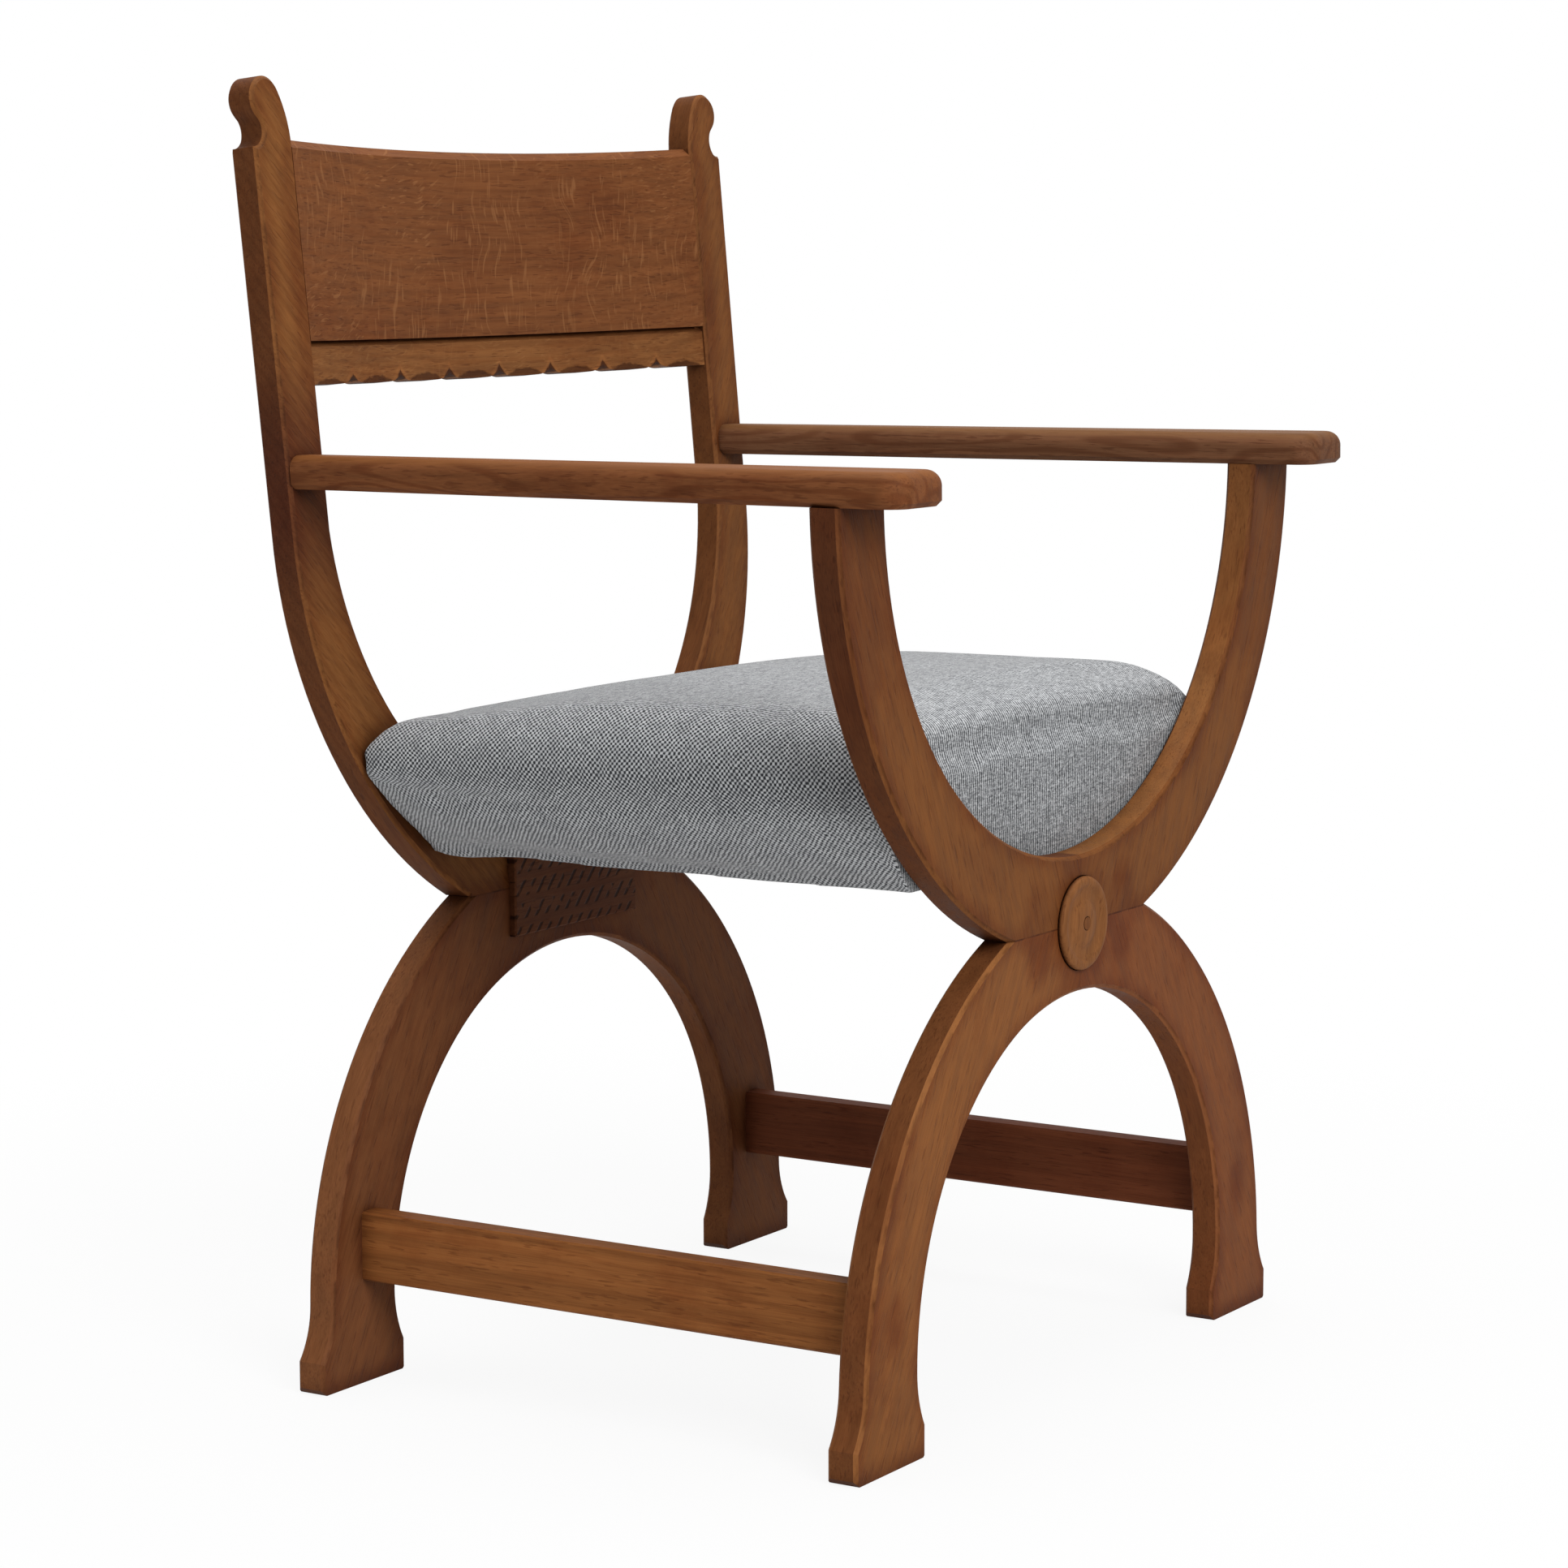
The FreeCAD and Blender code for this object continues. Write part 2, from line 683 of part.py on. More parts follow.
def seat_section(share):
    """Outline across the seat, at a place from 0 at its front to 1 at its back."""
    length = seat_back - seat_front
    place = 2 * share - 1
    at_front = end_roll(share * length, front_roll)
    at_back = end_roll((1 - share) * length, back_roll)
    end_crown = crown_front if place < 0 else crown_back
    crown = end_crown + (crown_middle - end_crown) * (1 + math.cos(math.pi * place)) / 2
    crown -= front_drop * at_front + back_drop * at_back
    half = bulge_half + side_swell * (1 - place ** 2) - corner_draw * (at_front + at_back)
    roll = side_roll * (crown - bulge_rise)
    foot = seat_foot_front + (seat_foot_back - seat_foot_front) * share
    fall = math.tan(share * (lean - tilt))

    def at(across, up):
        return vec(across, seat_front + share * length + up * fall, seat_foot + up)

    def on_roll(side, degrees):
        angle = math.radians(degrees)
        return at(side * (half - roll + roll * math.cos(angle)), bulge_rise + roll * math.sin(angle))

    def rolled(side, start, end):
        middle = on_roll(side, (start + end) / 2)
        return Part.Arc(on_roll(side, start), middle, on_roll(side, end)).toShape()

    edges = [
        Part.makeLine(at(-foot, 0), at(foot, 0)),
        Part.makeLine(at(foot, 0), on_roll(1, -waist_angle)),
        rolled(1, -waist_angle, brow_angle),
        Part.Arc(on_roll(1, brow_angle), at(0, crown), on_roll(-1, brow_angle)).toShape(),
        rolled(-1, brow_angle, -waist_angle),
        Part.makeLine(on_roll(-1, -waist_angle), at(-foot, 0)),
    ]
    return Part.Wire(edges)


def seat_form():
    """Cushion with a crown and drawn-in sides, with more sections near its front and back."""
    sections = []
    for index in range(seat_sections):
        share = (1 - math.cos(math.pi * index / (seat_sections - 1))) / 2
        sections.append(seat_section(share))
    return Part.makeLoft(sections, True, True)


def seat_screws(gap):
    """Four screws from the seat's frame into the planks, or their holes when a gap is given."""
    radius = screw_radius + gap
    spare = end_gap if gap else 0
    front_shank = rail_front + seat_rail_width - front_rear + screw_bite + spare
    back_shank = post_face(screw_height - seat_drop) + screw_bite - (rail_back - seat_rail_width) + spare
    screws = []
    for side in (-1, 1):
        for face, turn, shank in ((rail_front + seat_rail_width, -1, front_shank),
                                  (rail_back - seat_rail_width, 1, back_shank)):
            start = (side * screw_place, face, screw_height)
            screw = rod(start, (0, turn, 0), shank, radius)
            head = rod(start, (0, -turn, 0), screw_head, screw_head_radius)
            screws.append(tilted(screw if gap else screw.fuse(head)))
    return screws


def without(shape, cutters):
    for cutter in cutters:
        shape = shape.cut(cutter)
    return shape


def seat_cover():
    """Cover with its padding, hollow for the frame and the foam, and slit where the screws pass."""
    half = seat_rail_half + foam_gap
    opening = seat_foot_back - cover_hem
    frame_hollow = box((-half, rail_front - foam_gap, seat_rail_foot),
                       (half, rail_back + foam_gap, foam_foot))
    foam_hollow = box((-half, rail_front + foam_inset - foam_gap, seat_rail_foot),
                      (half, rail_back - foam_inset + foam_gap, foam_foot + foam_thick))
    hem_opening = box((-opening, seat_front + cover_hem, seat_foot - cover_thick),
                      (opening, seat_back - cover_hem, foam_foot))
    slits = [box((side * screw_place - screw_radius - fit_gap, -far, screw_height - screw_radius - fit_gap),
                 (side * screw_place + screw_radius + fit_gap, far, screw_height + screw_radius + fit_gap))
             for side in (-1, 1)]
    return tilted(without(seat_form(), [frame_hollow, foam_hollow, hem_opening] + slits))


def seat_foam():
    """Foam that rests on the webbing."""
    return tilted(box((-seat_rail_half, rail_front + foam_inset, foam_foot),
                      (seat_rail_half, rail_back - foam_inset, foam_foot + foam_thick)))


def seat_cross_rail(front):
    rail = box((-seat_rail_half, front, seat_rail_foot),
               (seat_rail_half, front + seat_rail_width, strap_level))
    return without(tilted(rail), seat_screws(fit_gap))


def seat_side_rail():
    """Side rail, taller by a strap so that the cross straps lie flat on it."""
    return tilted(box((seat_rail_half - seat_rail_width, rail_front + seat_rail_width, seat_rail_foot),
                      (seat_rail_half, rail_back - seat_rail_width, strap_level + strap_thick)))


def corner_blocks():
    inner = seat_rail_half - seat_rail_width
    blocks = []
    for corner, turn in ((rail_front + seat_rail_width, 1), (rail_back - seat_rail_width, -1)):
        outline = [
            ((inner - corner_leg, corner), 0),
            ((inner, corner + turn * corner_leg), 0),
            ((inner, corner), 0),
        ]
        block = plan_board((inner, corner), outline, seat_rail_foot, corner_height)
        blocks += [block, mirrored(block)]
    return [tilted(block) for block in blocks]


def straps(start, end, level, along_y):
    """Straps of webbing, spread evenly between the rails beside them."""
    low, high = (rail_front + seat_rail_width, rail_back - seat_rail_width)
    inner = seat_rail_half - seat_rail_width
    first, last = (-inner, inner) if along_y else (low, high)
    made = []
    for index in range(strap_count):
        middle = first + (last - first) * (index + 0.5) / strap_count
        near_side = middle - strap_width / 2
        far_side = middle + strap_width / 2
        if along_y:
            strap = box((near_side, start, level), (far_side, end, level + strap_thick))
        else:
            strap = box((start, near_side, level), (end, far_side, level + strap_thick))
        made.append(tilted(strap))
    return made


def dust_cover():
    half = seat_foot_back - cover_hem - foam_gap
    return tilted(box((-half, seat_front + cover_hem + foam_gap, seat_rail_foot - dust_cover_thick),
                      (half, seat_back - cover_hem - foam_gap, seat_rail_foot)))


front_cuts = front_slips(fit_gap) + seat_screws(fit_gap) + [rosette_seat()]
back_cuts = back_slips(fit_gap) + seat_screws(fit_gap)
mortises = [stretcher_tenons(fit_gap)]

export_pair("front_upright", without(front_upright(), front_cuts))
export_pair("front_leg", without(leg(front_face, front_notch, front_ankle), front_cuts + mortises))
export_pair("back_leg", without(leg(back_face, back_notch, back_ankle), back_cuts + mortises))
export_pair("back_post", without(back_post(), back_cuts + [arm_slip(fit_gap)]))
export("front_crossing_tenons", *front_slips(0))
export("back_crossing_tenons", *back_slips(0))
export_pair("armrest", armrest())
export("arm_tenons", arm_slip(0), mirrored(arm_slip(0)))
export_pair("stretcher", stretcher())
export("back_panel", back_panel())
export("scalloped_rail", scalloped_rail())
export("front_rosette", rosette())
export("rosette_plug", rosette_plug())
export("front_crossing_block", front_block())
export("back_crossing_block", back_block())
export("seat_cover", seat_cover())
export("seat_foam", seat_foam())
export("seat_rail_front", seat_cross_rail(rail_front))
export("seat_rail_back", seat_cross_rail(rail_back - seat_rail_width))
export_pair("seat_rail", seat_side_rail())
export("seat_corner_blocks", *corner_blocks())
export("seat_webbing_long", *straps(rail_front + seat_rail_width - strap_lap,
                                    rail_back - seat_rail_width + strap_lap, strap_level, True))
export("seat_webbing_cross", *straps(-seat_rail_half + seat_rail_width - strap_lap,
                                     seat_rail_half - seat_rail_width + strap_lap,
                                     strap_level + strap_thick, False))
export("seat_dust_cover", dust_cover())
export("seat_screws", *seat_screws(0))
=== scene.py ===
import math

import bmesh
import bpy
import numpy as np
from mathutils import Matrix, Vector


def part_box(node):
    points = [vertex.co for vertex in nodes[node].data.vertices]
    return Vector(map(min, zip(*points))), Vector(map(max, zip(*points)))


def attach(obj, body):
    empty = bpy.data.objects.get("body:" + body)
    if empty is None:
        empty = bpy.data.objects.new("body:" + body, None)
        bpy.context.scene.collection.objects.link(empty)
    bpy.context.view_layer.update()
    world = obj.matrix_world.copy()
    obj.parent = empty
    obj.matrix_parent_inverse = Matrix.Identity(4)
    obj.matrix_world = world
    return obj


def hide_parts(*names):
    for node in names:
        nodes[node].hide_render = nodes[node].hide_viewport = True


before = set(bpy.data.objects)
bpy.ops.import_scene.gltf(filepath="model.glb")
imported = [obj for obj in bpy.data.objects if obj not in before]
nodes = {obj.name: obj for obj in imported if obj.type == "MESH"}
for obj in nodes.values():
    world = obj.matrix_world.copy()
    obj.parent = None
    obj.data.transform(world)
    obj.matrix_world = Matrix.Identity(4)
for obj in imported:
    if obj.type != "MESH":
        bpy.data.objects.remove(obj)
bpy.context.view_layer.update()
scene = bpy.context.scene
mm = 0.001
full_turn = 2 * math.pi

# Places on the frames
front_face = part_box("front_leg_left")[0][1]
back_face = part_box("back_leg_left")[0][1]
joint_height = (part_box("front_rosette")[0][2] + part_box("front_rosette")[1][2]) / 2
lean = math.radians(5.73)

# Faces of the planks: the direction across a face, and how far along it the face lies
front_plane = (Vector((0, 1, 0)), front_face)
back_plane = (Vector((0, 1, 0)), back_face)
post_plane = (Vector((0, math.cos(lean), -math.sin(lean))),
              back_face * math.cos(lean) - joint_height * math.sin(lean))

# Camera, fitted to the two frames in the photo
camera_place = (-2.6624, -1.6682, 0.8179)
camera_yaw, camera_pitch, camera_roll = (math.radians(angle) for angle in (32.148, -7.327, -0.10))
camera_lens = 100.07


def place_camera():
    reach = math.cos(camera_pitch)
    forward = Vector((math.cos(camera_yaw) * reach, math.sin(camera_yaw) * reach, math.sin(camera_pitch)))
    right = Vector((math.sin(camera_yaw), -math.cos(camera_yaw), 0))
    up = right.cross(forward)
    turn = Matrix((right, up, -forward)).transposed() @ Matrix.Rotation(camera_roll, 3, "Z")
    camera = bpy.data.objects.new("camera", bpy.data.cameras.new("camera"))
    camera.matrix_world = Matrix.Translation(camera_place) @ turn.to_4x4()
    camera.data.lens = camera_lens
    camera.data.sensor_width = 36
    camera.data.clip_end = 60
    scene.collection.objects.link(camera)
    scene.camera = camera


# Node materials
class Graph:
    """A material's nodes. Each call adds nodes and gives the last one's output."""

    def __init__(self, name):
        self.material = bpy.data.materials.new(name)
        self.material.use_nodes = True
        self.tree = self.material.node_tree
        self.shader = self.tree.nodes["Principled BSDF"]

    def node(self, kind, inputs=(), **settings):
        made = self.tree.nodes.new(kind)
        for key, value in settings.items():
            setattr(made, key, value)
        for key, value in dict(inputs).items():
            self.put(value, made.inputs[key])
        return made

    def put(self, value, socket):
        if isinstance(value, bpy.types.NodeSocket):
            self.tree.links.new(value, socket)
        else:
            socket.default_value = value

    def set(self, **inputs):
        for key, value in inputs.items():
            self.put(value, self.shader.inputs[key.replace("_", " ").title().replace("Ior", "IOR")])

    def place(self):
        return self.node("ShaderNodeTexCoord").outputs["Object"]

    def normal(self):
        return self.parts(self.node("ShaderNodeNewGeometry").outputs["True Normal"])

    def parts(self, vector):
        return self.node("ShaderNodeSeparateXYZ", {0: vector}).outputs

    def math(self, operation, first, second=0.0):
        return self.node("ShaderNodeMath", {0: first, 1: second}, operation=operation).outputs[0]

    def chain(self, operation, values):
        result = values[0]
        for value in values[1:]:
            result = self.math(operation, result, value)
        return result

    def plus(self, *values):
        return self.chain("ADD", values)

    def minus(self, first, second):
        return self.math("SUBTRACT", first, second)

    def times(self, *values):
        return self.chain("MULTIPLY", values)

    def ratio(self, first, second):
        return self.math("DIVIDE", first, second)

    def most(self, *values):
        return self.chain("MAXIMUM", values)

    def size(self, value):
        return self.math("ABSOLUTE", value)

    def off(self, value, level):
        """How far a value is from a level, on either side."""
        return self.size(self.minus(value, level))

    def wave(self, turns):
        return self.math("COSINE", self.times(turns, full_turn))

    def move(self, vector, location=(0, 0, 0), rotation=(0, 0, 0), scale=(1, 1, 1)):
        return self.node("ShaderNodeMapping", {"Vector": vector, "Location": location, "Rotation": rotation,
                                               "Scale": scale}).outputs[0]

    def noise(self, vector, scale, detail=2.0, rough=0.5):
        return self.node("ShaderNodeTexNoise", {"Vector": vector, "Scale": scale, "Detail": detail,
                                                "Roughness": rough}).outputs[0]

    def drawn(self, vector, scale, detail=2.0, rough=0.5):
        """Noise drawn out along a direction, with its own scale on each axis."""
        return self.noise(self.move(vector, scale=scale), 1.0, detail, rough)

    def closeness(self, distance, **settings):
        """1 in the open, and less where other surfaces are closer than the distance."""
        made = self.node("ShaderNodeAmbientOcclusion", {"Distance": distance}, samples=6, **settings)
        return made.outputs["AO"]

    def band(self, value, low, high, start=0.0, end=1.0):
        """Runs smoothly from start to end while the value goes from low to high."""
        return self.node("ShaderNodeMapRange", {"Value": value, "From Min": low, "From Max": high,
                                                "To Min": start, "To Max": end},
                         interpolation_type="SMOOTHSTEP").outputs[0]

    def mix(self, share, first, second, blend="MIX"):
        made = self.node("ShaderNodeMix", data_type="RGBA", blend_type=blend)
        for value, socket in zip((share, first, second), (made.inputs[0], made.inputs[6], made.inputs[7])):
            self.put(value, socket)
        return made.outputs[2]

    def shade(self, colour, share, factor):
        """Multiplies a colour by a factor where the share is 1."""
        return self.mix(share, colour, rgb(factor), "MULTIPLY")

    def bump(self, height, distance, strength):
        self.put(self.node("ShaderNodeBump", {"Height": height, "Distance": distance,
                                              "Strength": strength}).outputs[0], self.shader.inputs["Normal"])


def rgb(colour, gain=1.0):
    return (*(part * gain for part in colour), 1)


def tinted(colour, gains):
    return rgb([part * gain for part, gain in zip(colour, gains)])


def lay(degrees):
    """Turn that lays the grain at an angle to the floor, in the plane of a frame."""
    return (0, math.radians(degrees), 0)


# Oak: what its marks, and the shade and highlights painted on it, multiply its colour by
late_wood_shade = (0.62, 0.5, 0.44)
pore_shade = (0.5, 0.4, 0.38)
fibre_shade = (0.72, 0.68, 0.66)
stain_shade = (0.74, 0.6, 0.55)
rim_shade = (0.7, 0.57, 0.54)
joint_dark_and_arris_painted_shade = (0.3, 0.22, 0.2)
grime_and_painted_shade_factor = (0.64, 0.56, 0.72)
gouge_shade = (0.28, 0.25, 0.24)
lip_wear_and_highlight = (1.5, 1.45, 1.4)
cut_painted_shade = (0.3, 0.24, 0.24)
crevice_painted_shade = (0.36, 0.29, 0.28)

# And what its paler places multiply its tone by, some of them partly painted highlights
fleck_gain = (1.9, 2.3, 2.6)
arris_wear_and_highlight_gain = (1.9, 2.1, 2.3)
worn_and_highlight_gain = (1.35, 1.4, 1.0)


def ray_flecks(g, seed):
    """Share of the pale flecks of quarter-sawn oak: tall ones in groups, short ones between the groups."""
    place = g.place()
    waves = g.node("ShaderNodeTexNoise", {"Vector": place, "Scale": 16, "Detail": 1}).outputs["Color"]
    sway = 45 * mm
    bent = g.node("ShaderNodeVectorMath", {0: waves, 1: (sway, sway, sway), 2: place},
                  operation="MULTIPLY_ADD").outputs[0]
    tall = g.drawn(g.move(bent, rotation=lay(84)), (50, 1, 420), 1.5)
    short = g.drawn(g.move(bent, rotation=lay(16)), (95, 1, 520), 1.5)
    groups = g.noise(g.move(place, (seed, 0, 0)), 9.0)
    return g.most(g.times(g.band(tall, 0.58, 0.68), g.band(groups, 0.46, 0.56)),
                  g.times(g.band(short, 0.6, 0.68), g.band(groups, 0.52, 0.42)))


def plank_face(g, colour, tone, patina, plane, edge, arris):
    """Colours a plank of a frame: redder along its rim, worn and with a painted highlight on its arris, and
    dark in its joints.

    Its side faces have a factor of their own, partly their own tone and partly painted light and shade. A
    broken line of painted shade runs along the front of the arris.
    """
    place = g.place()
    x, _, z = g.parts(place)
    facing = g.size(g.normal()[1])
    inner = g.closeness(17 * mm, inside=True, only_local=True)
    rim = g.times(g.band(inner, 0.96, 0.6), g.band(facing, 0.5, 0.9), g.band(patina, 0.3, 0.55, 0.35, 1.0))
    colour = g.shade(colour, rim, rim_shade)
    # Side faces get a factor of their own: partly their own tone, partly painted light and shade
    colour = g.shade(colour, g.band(facing, 0.5, 0.3), edge)
    bevel = g.times(g.band(facing, 0.4, 0.5), g.band(facing, 0.96, 0.9))
    # The arris is paler: partly wear, partly a painted highlight
    arris_wear_and_highlight = g.times(bevel, g.band(patina, 0.66, 0.42, 0.3, 1.0), arris)
    colour = g.mix(arris_wear_and_highlight, colour, tinted(tone, arris_wear_and_highlight_gain))
    across = g.node("ShaderNodeVectorMath", {0: place, 1: plane[0]}, operation="DOT_PRODUCT").outputs["Value"]
    depth = g.minus(across, plane[1])
    broken = g.noise(place, 55, 2, 0.6)
    # A broken line of painted shade along the front of the arris
    line = g.times(bevel, g.band(depth, 1.8 * mm, 0.5 * mm), g.band(broken, 0.35, 0.6), 0.55)
    level_joint = g.times(g.band(g.off(z, joint_height), 0.9 * mm, 0.3 * mm),
                          g.band(broken, 0.36, 0.58, 0.25, 0.8))
    upright_joint = g.times(g.band(g.off(x, 0), 0.7 * mm, 0.25 * mm), 0.35)
    return g.shade(colour, g.most(line, level_joint, upright_joint), joint_dark_and_arris_painted_shade)


def gouge_marks(g):
    """Share of the slanting gouge marks on a block, in rows."""
    pitch, row, slant = 13 * mm, 17 * mm, 0.9
    place = g.place()
    x, _, z = g.parts(place)
    stroke = g.math("FRACT", g.ratio(g.minus(x, g.times(z, slant)), pitch))
    height = g.math("FRACT", g.ratio(z, row))
    return g.times(g.band(g.off(stroke, 0.5), 0.2, 0.1), g.band(g.off(height, 0.5), 0.38, 0.28),
                   g.band(g.noise(place, 90, 1), 0.36, 0.46))


def rail_carving(g, foot):
    """Shares of the lips and of the cuts along a scalloped edge: a notch at each pitch, a scoop between."""
    pitch, scoop_half, scoop_rise, rag = 64.5 * mm, 22 * mm, 5 * mm, 4 * mm
    place = g.place()
    x, _, z = g.parts(place)
    beside = g.times(g.off(g.math("FRACT", g.plus(g.ratio(x, pitch), 0.5)), 0.5), pitch)
    between = g.ratio(g.minus(pitch / 2, beside), scoop_half)
    over = g.plus(g.minus(z, foot), g.times(g.noise(place, 150), rag))
    notch = g.plus(over, beside)
    scoop = g.plus(over, g.times(between, between, scoop_rise))
    lip = g.times(g.band(notch, 12 * mm, 13.5 * mm), g.band(notch, 18 * mm, 15 * mm))
    cut = g.most(g.band(notch, 12.5 * mm, 11 * mm), g.band(scoop, 10 * mm, 8 * mm, 0.0, 0.85))
    return lip, cut


def oak(name, tone, turn, seed, rings=70, swirl=3.0, figure=0.3, streaks=1.0, fleck=0.0, pale_top=0.0,
        plane=None, edge=None, arris=0.0, grime_and_painted_shade=None, gouged=False, carved=False):
    """Oiled oak.

    The turn lays the grain along the piece, and the seed picks its stretch of wood. The rings are counted in
    a metre across the grain, wander by the swirl, and show by the figure. A plank has a plane, a factor for
    its sides that is partly their own tone and partly painted light and shade, and the wear of its arris,
    which is partly a painted highlight. Grime and painted shade have heights between which they come, heights
    between which they go, and a strength.
    """
    g = Graph(name)
    place = g.place()
    height = g.parts(place)[2]
    grain = g.move(place, (0.37 * seed, 0.11 * seed, 0.23 * seed), turn)
    _, deep, over = g.parts(grain)
    wander = g.drawn(grain, (4.5, 24, 24), 1.5, 0.45)
    phase = g.plus(g.times(g.plus(over, g.times(deep, 0.7)), rings), g.times(wander, swirl))
    late_wood = g.band(g.math("SINE", g.times(phase, full_turn)), 0.0, 1.0)
    streak = g.drawn(grain, (16, 90, 90) if plane else (2.4, 130, 130), 5, 0.7)
    fibre = g.drawn(grain, (24, 1100, 1100), 1)
    pores = g.times(g.band(g.drawn(grain, (60, 620, 620), 1), 0.58, 0.68), g.band(late_wood, 1.0, 0.3))
    patina = g.noise(g.move(place, (seed, 2 * seed, 0)), 9.0, 6, 0.68)
    relief = g.minus(g.times(streak, 0.5), pores)

    gain, spread = 1.14, 0.22 * streaks
    colour = g.mix(g.band(streak, 0.32, 0.68), rgb(tone, gain - spread), rgb(tone, gain + spread))
    colour = g.shade(colour, g.times(late_wood, figure), late_wood_shade)
    colour = g.shade(colour, g.times(pores, 0.45 if plane else 0.5), pore_shade)
    colour = g.shade(colour, g.band(fibre, 0.4, 0.7, 0.0, 0.5), fibre_shade)
    colour = g.shade(colour, g.band(patina, 0.45, 0.68, 0.0, 0.6), stain_shade)
    if fleck:
        colour = g.mix(g.times(ray_flecks(g, seed), fleck), colour, tinted(tone, fleck_gain))
    if plane:
        colour = plank_face(g, colour, tone, patina, plane, edge, arris)
    # Darker between heights: grime, and painted shade near the arms
    if grime_and_painted_shade:
        come, gone, strength = grime_and_painted_shade
        colour = g.shade(colour, g.times(g.band(height, *come), g.band(height, *gone), strength), grime_and_painted_shade_factor)
    # Paler tops of the arms: partly worn, partly a painted highlight from the lamp above
    if pale_top:
        up = g.times(g.band(g.normal()[2], 0.4, 0.95), g.band(streak, 0.25, 0.6, 0.7, 1.0), pale_top)
        colour = g.mix(up, colour, tinted(tone, worn_and_highlight_gain))
    if gouged:
        marks = gouge_marks(g)
        colour = g.shade(colour, marks, gouge_shade)
        relief = g.minus(relief, g.times(marks, 3.0))
    if carved:
        # Painted shade in the carved cuts, and on their lips a paler tone, partly wear and partly a painted
        # highlight
        lip, cut = rail_carving(g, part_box(name)[0][2])
        colour = g.shade(colour, g.times(lip, 0.35), lip_wear_and_highlight)
        colour = g.shade(colour, cut, cut_painted_shade)
        relief = g.minus(relief, g.times(cut, 3.0))
    # Painted shade where other surfaces come close: in crevices and between parts
    colour = g.shade(colour, g.band(g.closeness(22 * mm), 0.85, 0.35, 0.0, 0.8), crevice_painted_shade)
    g.set(base_color=colour, roughness=g.band(streak, 0.2, 0.8, 0.5, 0.66), specular_ior_level=0.06)
    g.bump(relief, 0.18 * mm, 0.6)
    return g.material


def beech(name, turn):
    """Plain wood of the inner pieces."""
    tone, dash_shade = (0.45, 0.3, 0.17), (0.6, 0.5, 0.45)
    g = Graph(name)
    grain = g.move(g.place(), rotation=turn)
    streak = g.drawn(grain, (3, 90, 90), 3, 0.6)
    dash = g.band(g.drawn(grain, (90, 700, 700), 1), 0.6, 0.7)
    colour = g.mix(g.band(streak, 0.3, 0.7), rgb(tone, 0.85), rgb(tone, 1.15))
    g.set(base_color=g.shade(colour, g.times(dash, 0.4), dash_shade),
          roughness=g.band(streak, 0.3, 0.7, 0.55, 0.7), specular_ior_level=0.2)
    g.bump(streak, 0.2 * mm, 0.5)
    return g.material


def tweed():
    """Pale dots in rows on charcoal at the sides, which run together into steep lines lower down.

    The top and the ends show fine lines from front to back, broken by dark specks. Lengths are in mm.
    """
    charcoal, pale, dull = (0.018, 0.02, 0.024), (0.6, 0.615, 0.63), (0.1, 0.105, 0.115)
    slants = ((3.7, 6.1), (3.8, -3.6))
    line_pitch, sway = 2.7, 4.0
    g = Graph("tweed")
    place = g.move(g.place(), scale=(1 / mm, 1 / mm, 1 / mm))
    x = g.parts(place)[0]
    across, along, _ = g.parts(g.node("ShaderNodeAttribute", attribute_name="cloth").outputs["Vector"])
    aside, _, up = g.normal()
    side = g.band(g.size(aside), 0.2, 0.65)
    end = g.minus(1.0, side)
    low = g.band(up, 0.0, -0.4)
    top = g.band(up, 0.0, 1.0)
    wobble = g.times(g.minus(g.noise(place, 0.09, 3, 0.6), 0.5), sway)
    fibres = g.minus(g.noise(place, 0.8, 3, 0.7), 0.5)
    weft = g.minus(g.drawn(place, (0.18, 0.65, 0.65), 3, 0.7), 0.5)
    mottle = g.noise(place, 0.13, 3, 0.7)

    along = g.plus(along, wobble)
    first, second = (g.wave(g.plus(g.ratio(along, pitch), g.ratio(across, row))) for pitch, row in slants)
    rows = g.plus(g.times(first, g.minus(1.1, g.times(low, 0.35))),
                  g.times(second, g.minus(0.95, g.times(low, 0.4))))
    lines = g.wave(g.ratio(g.plus(x, wobble), line_pitch))
    weave = g.plus(g.times(rows, side), g.times(lines, end, 0.75))
    loose = g.plus(g.times(fibres, 2.8), g.times(weft, g.band(end, 0, 1, 0.8, 3.0)))
    # Dots are paler where the cover faces up, as painted light, and a little paler where it faces down
    lift = g.plus(g.times(low, 0.2), g.times(top, 0.34))
    dots = g.band(g.plus(weave, loose, lift), -1.0, 1.4)
    colour = g.mix(dots, rgb(charcoal), rgb(pale))
    colour = g.mix(g.band(mottle, 0.4, 0.68, 0.0, 0.3), colour, rgb(dull))
    g.set(base_color=colour, roughness=g.band(dots, 0, 1, 0.95, 0.85), specular_ior_level=0.1,
          sheen_weight=0.1, sheen_roughness=0.6)
    g.bump(dots, 0.5 * mm, 0.6)
    return g.material


def cloth(name, tone, pitch):
    """Plain woven cloth for what lies under the seat."""
    g = Graph(name)
    waves = [g.node("ShaderNodeTexWave", {"Vector": g.place(), "Scale": 0.314 / pitch, "Distortion": 1.2},
                    bands_direction=axis).outputs["Fac"] for axis in "XY"]
    weave = g.times(*waves)
    g.set(base_color=g.mix(weave, rgb(tone, 0.6), rgb(tone, 1.4)), roughness=g.band(weave, 0, 1, 0.95, 0.8))
    g.bump(weave, 0.4 * mm, 0.6)
    return g.material


